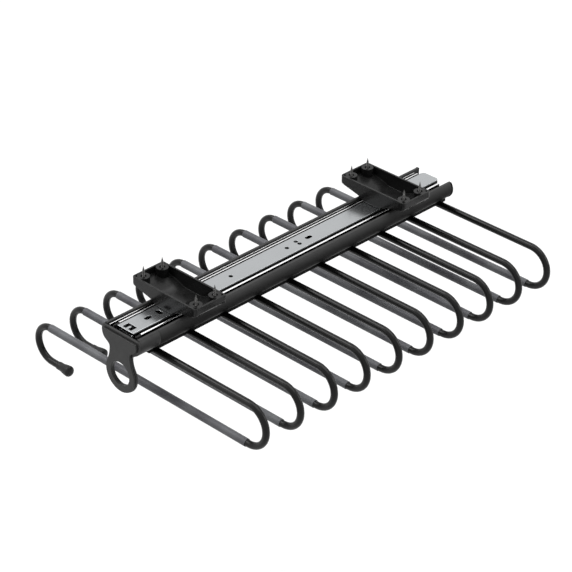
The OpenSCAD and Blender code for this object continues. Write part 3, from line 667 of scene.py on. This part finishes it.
def webOpenings(front, length):
    h = webHoles
    holes = []
    for share, kind in webShares:
        y = front + share * length
        if kind == "along":
            holes.append(slotOutline(y, h["slotWidth"] / 2, h["slotLength"] / 2))
        if kind == "across":
            holes.append(slotOutline(y, h["slotLength"] / 2, h["slotWidth"] / 2))
        if kind == "round":
            holes.append(circleOutline(0, y, h["round"]))
        if kind == "pair":
            holes += [circleOutline(side * h["pairGap"], y, h["round"]) for side in (-1, 1)]
    half, tongue, r = h["windowHalf"], h["tongueHalf"], h["windowCorner"]
    near = front + h["windowSetback"]
    far, tip = near + h["windowDepth"], near + h["tongueDepth"]
    holes.append(bend([(-half, near, r), (-tongue, near, r), (-tongue, tip, r), (tongue, tip, r),
                       (tongue, near, r), (half, near, r), (half, far, r), (-half, far, r)]))
    for tray in (-1, 1):
        for side in (-1, 1):
            holes.append(circleOutline(0, tray * h["trayAlong"] + side * h["screwAlong"], h["screw"]))
    return holes


def makeFixedRail():
    s, f = slideShape, flankShape
    low, high = boxOf("fixed_rail")
    front, back = low.y, high.y
    edge, corner = s["fixedHalf"] - s["fixedRound"], s["webCorner"] - s["fixedRound"]
    plan = bend([(-edge, front, s["frontCorner"]), (edge, front, s["frontCorner"]),
                 (edge, back, corner), (-edge, back, corner)])
    work = bmesh.new()
    addPlate(work, [plan] + webOpenings(front, back - front), webTop - s["sheet"], webTop, s["edge"], "Z")
    outer = s["fixedHalf"] - s["sheet"] / 2
    flank = strip([(edge - f["overlap"], webTop - s["sheet"] / 2, 0),
                   (outer, webTop - s["sheet"] / 2, f["topBend"]),
                   (outer, webTop - f["grooveTop"], f["edgeBend"]),
                   (outer - f["grooveDepth"], webTop - f["grooveMiddle"], f["grooveBend"]),
                   (outer, webTop - f["grooveBottom"], f["edgeBend"]),
                   (outer, webTop - s["fixedDepth"] + s["sheet"] / 2, 0)], s["sheet"] - f["thinner"])
    for outline in (flipped(flank), flank):
        addBar(work, outline, front + f["setback"], back - s["webCorner"] + s["fixedRound"])
    finished(work, "fixed_member", "mount", webSteel, "fixed_rail")


def makeMiddleRail():
    s = slideShape
    low, high = boxOf("middle_rail")
    half, t = s["middleHalf"] - s["sheet"] / 2, s["sheet"]
    top, base = high.z - t / 2, low.z + t / 2
    lipX = s["middleHalf"] - s["middleLip"] + t / 2
    path = [(-lipX, top, 0), (-half, top, s["topBend"]), (-half, base, s["bottomBend"]),
            (half, base, s["bottomBend"]), (half, top, s["topBend"]), (lipX, top, 0)]
    work = bmesh.new()
    addPlate(work, [strip(path, t)], low.y, high.y, s["edge"])
    finished(work, "middle_member", "middle", middleSteel, "middle_rail")


def makeOuterRail():
    s = slideShape
    low, high = boxOf("outer_rail")
    half, t = s["outerHalf"] - s["sheet"] / 2, s["sheet"]
    top, base = high.z - t / 2, low.z + t / 2
    path = [(-half, top, 0), (-half, base, s["bottomBend"]), (half, base, s["bottomBend"]), (half, top, 0)]
    work = bmesh.new()
    addPlate(work, [strip(path, t)], low.y, high.y, s["edge"])
    finished(work, "outer_member", "carriage", outerSteel, "outer_rail")


makeFixedRail()
makeMiddleRail()
makeOuterRail()
for node, material in slideCoats.items():
    coat(node, material)
print("slide made")


# Casing

casingShape = {"lobeX": 17.0, "lobeDrop": 9.4, "lobeRadius": 12.5, "flankDeg": 32.2, "channelHalf": 23.0,
               "wall": 1.7, "floor": 1.8, "rib": 10, "chamberCorner": 0.6, "edge": 0.25, "lobeSteps": 24}


def lobeArc(radius, top):  # the beam's round side, from the top edge down to the flank
    s = casingShape
    centreZ = webTop - s["lobeDrop"]
    start = math.degrees(math.asin(min(1, (top - centreZ) / radius)))
    return arc(s["lobeX"], centreZ, radius, start, s["flankDeg"] - 90, s["lobeSteps"])


def channelledOutline(inset, top):  # the beam's section with the slide's channel in it
    s = casingShape
    right = lobeArc(s["lobeRadius"] - inset, top)
    bottom = casingLow.z + inset
    tangent = right[-1]
    foot = tangent.x - (tangent.y - bottom) / math.tan(math.radians(s["flankDeg"]))
    right.append(Vector((foot, bottom)))
    half = s["channelHalf"]
    notch = [Vector(p) for p in ((-half, top), (-half, slideBottom), (half, slideBottom), (half, top))]
    return right + flipped(right) + notch


def chambers():  # hollows in the beam's floor and lobes
    s = casingShape
    near, far, r = s["rib"] / 2, s["lobeX"] - s["wall"], s["chamberCorner"]
    low, high = casingLow.z + s["wall"], slideBottom - s["floor"]
    floorRoom = bend([(near, low, r), (far, low, r), (far, high, r), (near, high, r)])
    radius = s["lobeRadius"] - s["wall"]
    span = math.degrees(math.acos((s["channelHalf"] + s["wall"] - s["lobeX"]) / radius))
    lobeRoom = arc(s["lobeX"], webTop - s["lobeDrop"], radius, -span, span, s["lobeSteps"] // 2)
    return [floorRoom, flipped(floorRoom), lobeRoom, flipped(lobeRoom)]


work = bmesh.new()
addPlate(work, [channelledOutline(0, casingHigh.z)] + chambers(), casingLow.y, casingHigh.y,
         casingShape["edge"])
finished(work, "slide_casing", "carriage", casingCoat, "casing")
print("casing made")


# Front cap

capShape = {"ring": 22.6, "finger": 13.8, "ringDrop": 51.0, "neck": 16.3, "neckFillet": 5.0, "plate": 5,
            "overlap": 0.3, "gap": 0.1, "seam": 0.4, "filletSteps": 8, "waistSteps": 14, "ringSteps": 40,
            "fingerSteps": 64}
capLayers = [  # from the face to the back, each drawn in from the beam's and from the ring's outline
    {"near": 0, "far": 2.6, "inset": 3.4, "ringInset": 0.7, "drop": 5.2, "round": 0.6},
    {"near": 2.4, "far": 5, "inset": 0, "ringInset": 0, "drop": 2.1, "round": 0.45}]


def pullOutline(layer):  # beam outline that runs down into the neck and the finger ring
    s, c = capShape, casingShape
    angle = math.radians(c["flankDeg"])
    r = c["lobeRadius"] - layer["inset"]
    ring, neck = s["ring"] - layer["ringInset"], s["neck"] - layer["ringInset"]
    top, lobeZ, ringZ = (webTop - d for d in (layer["drop"], c["lobeDrop"], s["ringDrop"]))
    tangentX, tangentZ = c["lobeX"] + r * math.sin(angle), lobeZ - r * math.cos(angle)
    filletX = neck + s["neckFillet"]
    waistZ = tangentZ - (tangentX - filletX) * math.tan(angle) - s["neckFillet"] / math.cos(angle)
    drop = waistZ - ringZ
    waistX = (drop ** 2 - (ring - neck) ** 2) / (2 * (ring - neck))
    touch = math.degrees(math.atan2(drop, waistX))
    side = lobeArc(r, top)
    side += arc(filletX, waistZ, s["neckFillet"], 90 + c["flankDeg"], 180, s["filletSteps"])
    side += arc(waistX, waistZ, waistX - neck, 180, 180 + touch, s["waistSteps"])[1:]
    side += arc(0, ringZ, ring, touch, -90, s["ringSteps"])[1:]
    return side + flipped(side)[1:]


work = bmesh.new()
fingerHole = circleOutline(0, webTop - capShape["ringDrop"], capShape["finger"], capShape["fingerSteps"])
for layer in capLayers:
    addPlate(work, [pullOutline(layer), fingerHole], faceY + layer["near"], faceY + layer["far"],
             layer["round"])
addPlate(work, [channelledOutline(0, casingHigh.z)], faceY + capShape["plate"] - capShape["overlap"],
         casingLow.y - capShape["gap"], capShape["seam"])
finished(work, "pull_cap", "carriage", capPlastic, "front_cap")


# Rear cap

rearCapShape = {"proud": 0.5, "round": 1.1}
work = bmesh.new()
addPlate(work, [channelledOutline(-rearCapShape["proud"], casingHigh.z)], casingHigh.y,
         boxOf("rear_cap")[1].y, rearCapShape["round"])
finished(work, "rear_end_cap", "carriage", rearCapPlastic, "rear_cap")
print("caps made")


# Hangers

hangerShape = {"rod": 4.0, "uBend": 24.8, "hookBend": 21.8, "topDrop": 2.3, "outreach": 0.9, "start": -12,
               "chamfer": 0.5, "chamferEase": 0.15, "straight": 8, "lip": 10.9, "socket": 14.9,
               "bendSteps": 28, "sharpDeg": 45}


def hangerLine(number):  # place and heights of one hanger's runs, and the middles of its bends
    s = hangerShape
    low, high = boxOf("trouser_bar_%02d" % number)
    upper = high.z - s["topDrop"]
    lower = upper - 2 * s["uBend"]
    reach = s["outreach"] - s["rod"]
    return {"y": (low.y + high.y) / 2, "upper": upper, "lower": lower, "hook": lower - 2 * s["hookBend"],
            "uX": high.x + reach - s["uBend"], "hookX": low.x - reach + s["hookBend"]}


saddleShape = {"round": 1.5, "topRound": 0.7, "edge": 0.3, "room": 0.06}


def makeHangerRail():  # a bar with a round saddle for each rod
    s, h = saddleShape, hangerShape
    half, bottom, top = railHigh.x, railLow.z, railHigh.z
    work, saddles = bmesh.new(), bmesh.new()
    addPlate(work, [bend([(-half, bottom, s["round"]), (half, bottom, s["round"]),
                          (half, top, s["topRound"]), (-half, top, s["topRound"])])],
             railLow.y, railHigh.y, s["edge"])
    for number in range(1, hangerCount + 1):
        line = hangerLine(number)
        radius = h["rod"] + s["room"]
        addLathe(saddles, [(h["start"] - s["room"], radius), (half + 1, radius)],
                 (0, line["y"], line["upper"]), "X", 24, False)
    work = carved(work, saddles, "DIFFERENCE")
    finished(work, "saddle_rail", "carriage", hangerRailCoat, "hanger_rail")


def makeBar(number, line):
    s = hangerShape
    start, upper, lower = s["start"], line["upper"], line["lower"]
    path = [Vector((start + along, upper)) for along in (0, s["chamferEase"], s["chamfer"])]
    radii = [s["rod"] - s["chamfer"], s["rod"] - s["chamferEase"], s["rod"]]
    turns = [Vector((start + s["straight"], upper))]
    turns += arc(line["uX"], upper - s["uBend"], s["uBend"], 90, -90, s["bendSteps"])
    turns += arc(line["hookX"], lower - s["hookBend"], s["hookBend"], 90, 270, s["bendSteps"])
    turns.append(Vector((line["hookX"] + s["lip"] + s["socket"], line["hook"])))
    work = bmesh.new()
    addTube(work, path + turns, radii + [s["rod"]] * len(turns), line["y"])
    finished(work, "bent_bar_%02d" % number, "carriage", barCoat,
             "trouser_bar_%02d" % number, s["sharpDeg"])


sleeveShape = {"radius": 4.6, "bore": 4.03, "setback": 2}
sleeveEdge = [(0, 0.2), (0.1, 0.05), (0.35, 0), (2.5, 0)]  # (from the end, drop below the radius)


def makeSleeve(number, line):
    s = sleeveShape
    start, end = line["hookX"], line["uX"] - s["setback"]
    profile = [(start, s["bore"])] + [(start + along, s["radius"] - drop) for along, drop in sleeveEdge]
    profile += [(end - along, s["radius"] - drop) for along, drop in reversed(sleeveEdge)]
    profile.append((end, s["bore"]))
    work = bmesh.new()
    addLathe(work, profile, (0, line["y"], line["lower"]), "X", 24)
    finished(work, "grip_sleeve_%02d" % number, "carriage", sleeveCoat,
             "bar_sleeve_%02d" % number, hangerShape["sharpDeg"])


tipShape = {"radius": 6.25, "neck": 4.65, "neckLength": 3, "neckRunOut": 0.3, "flare": 14, "dome": 4.1,
            "domeShare": 0.999, "pole": 0.3, "depth": 15, "flareSteps": 12, "domeSteps": 9}
tipEdge = [(0, 0.35), (0.12, 0.1), (0.4, 0)]  # the same at the tip's mouth


def makeTip(number, line):
    s = tipShape
    bore, neck, swell = sleeveShape["bore"], s["neck"], s["radius"] - s["neck"]
    profile = [(0, bore)] + [(along, neck - drop) for along, drop in tipEdge]
    profile.append((s["neckLength"] - s["neckRunOut"], neck))
    for k in range(s["flareSteps"] + 1):
        share = k / s["flareSteps"]
        profile.append((s["neckLength"] + s["flare"] * share,
                        neck + swell * math.sin(math.pi / 2 * share) ** 2))
    shoulder = s["neckLength"] + s["flare"]
    for k in range(1, s["domeSteps"]):
        turn = math.pi / 2 * k / s["domeSteps"]
        profile.append((shoulder + s["dome"] * math.sin(turn), s["radius"] * math.cos(turn)))
    profile.append((shoulder + s["dome"] * s["domeShare"], s["pole"]))
    profile += [(s["depth"], s["pole"]), (s["depth"], bore)]
    work = bmesh.new()
    addLathe(work, profile, (line["hookX"] + hangerShape["lip"], line["y"], line["hook"]), "X")
    finished(work, "rubber_tip_%02d" % number, "carriage", tipRubber,
             "bar_tip_%02d" % number, hangerShape["sharpDeg"])


makeHangerRail()
for number in range(1, hangerCount + 1):
    line = hangerLine(number)
    makeBar(number, line)
    makeSleeve(number, line)
    makeTip(number, line)
print("hangers made")


# Camera, from the photograph's viewing angle

cameraSetup = {"place": (1.45697, -1.51702, 1.19955), "turnDeg": 43.827, "downDeg": 31.096, "rollDeg": 0.953,
               "lens": 139.60, "sensor": 36.0, "near": 0.05, "far": 100}


def makeCamera(setup):
    turn, down, roll = (math.radians(setup[k]) for k in ("turnDeg", "downDeg", "rollDeg"))
    ahead = Vector((-math.sin(turn) * math.cos(down), math.cos(turn) * math.cos(down), -math.sin(down)))
    level = Vector((math.cos(turn), math.sin(turn), 0))
    upright = level.cross(ahead)
    right = level * math.cos(roll) + upright * math.sin(roll)
    up = upright * math.cos(roll) - level * math.sin(roll)
    data = bpy.data.cameras.new("photoCamera")
    data.lens, data.sensor_width = setup["lens"], setup["sensor"]
    data.clip_start, data.clip_end = setup["near"], setup["far"]
    camera = bpy.data.objects.new("photoCamera", data)
    facing = Matrix((right, up, -ahead)).transposed().to_4x4()
    camera.matrix_world = Matrix.Translation(setup["place"]) @ facing
    scene.collection.objects.link(camera)
    scene.camera = camera


makeCamera(cameraSetup)


# Floor, backdrop and lamps, in metres, but for the paper's fibre, which is in millimetres

stageSetup = {"floorZ": -0.45, "floorSize": 60, "floorTone": 0.35, "floorRough": 0.9, "floorShine": 0.2,
              "floorGlow": 0.68, "fibre": 3, "fibreTone": 0.97, "ambient": 0.28, "background": 1.0}
lampSetup = {  # two wide suns shape the tops, the side lamp draws the highlights, the front lamp fills
    "topLamp": {"kind": "SUN", "place": (0.1, 0.35, 1.5), "angleDeg": 50, "power": 1.5},
    "leftLamp": {"kind": "SUN", "place": (-1.2, -0.4, 1.6), "angleDeg": 30, "power": 1.2},
    "sideLamp": {"kind": "AREA", "place": (1.3, 1.1, 0.65), "size": 0.8, "power": 7},
    "frontLamp": {"kind": "AREA", "place": (-0.9, -1.5, 0.7), "size": 1.1, "power": 4}}
lampAim = (0, 0, -0.08)
white = (1, 1, 1, 1)


def makeFloor(setup):
    data = bpy.data.meshes.new("paperFloor")
    half, z = setup["floorSize"] / 2, setup["floorZ"]
    corners = [(-half, -half, z), (half, -half, z), (half, half, z), (-half, half, z)]
    data.from_pydata(corners, [], [(0, 1, 2, 3)])
    floor = bpy.data.objects.new("paperFloor", data)
    scene.collection.objects.link(floor)
    paper = Finish("paper", {"Roughness": setup["floorRough"], "Specular IOR Level": setup["floorShine"]})
    fibre = paper.spread(paper.noise(setup["fibre"], 4), setup["fibreTone"], 1.0)
    darker = tone(setup["floorTone"] * setup["fibreTone"])
    paper.feed("Base Color", paper.blend(fibre, darker, tone(setup["floorTone"])))
    glow = paper.node("ShaderNodeEmission", {},
                      {"Color": white, "Strength": paper.seenRays() * setup["floorGlow"]})
    both = paper.node("ShaderNodeAddShader", {}, {0: Wire(paper, paper.shader.outputs[0]), 1: glow})
    paper.plug(paper.tree.nodes["Material Output"].inputs["Surface"], both)
    data.materials.append(paper.material)


def makeBackdrop(setup):  # white where it is seen, and softer as a light
    world = bpy.data.worlds.new("studio")
    world.use_nodes = True
    scene.world = world
    sky = Nodes(world.node_tree)
    light = sky.tree.nodes["Background"]
    light.inputs["Color"].default_value = white
    level = sky.node("ShaderNodeMapRange", {}, {"Value": sky.seenRays(), "To Min": setup["ambient"],
                                                "To Max": setup["background"]})
    sky.plug(light.inputs["Strength"], level)


def makeLamp(name, setup):
    data = bpy.data.lights.new(name, setup["kind"])
    data.energy = setup["power"]
    if setup["kind"] == "SUN":
        data.angle = math.radians(setup["angleDeg"])
    else:
        data.shape = "SQUARE"
        data.size = setup["size"]
    lamp = bpy.data.objects.new(name, data)
    lamp.location = setup["place"]
    lamp.rotation_mode = "QUATERNION"
    lamp.rotation_quaternion = (Vector(lampAim) - lamp.location).to_track_quat("-Z", "Y")
    scene.collection.objects.link(lamp)


makeFloor(stageSetup)
makeBackdrop(stageSetup)
for name, setup in lampSetup.items():
    makeLamp(name, setup)
scene.view_settings.view_transform = "Standard"
print("stage and lamps made")
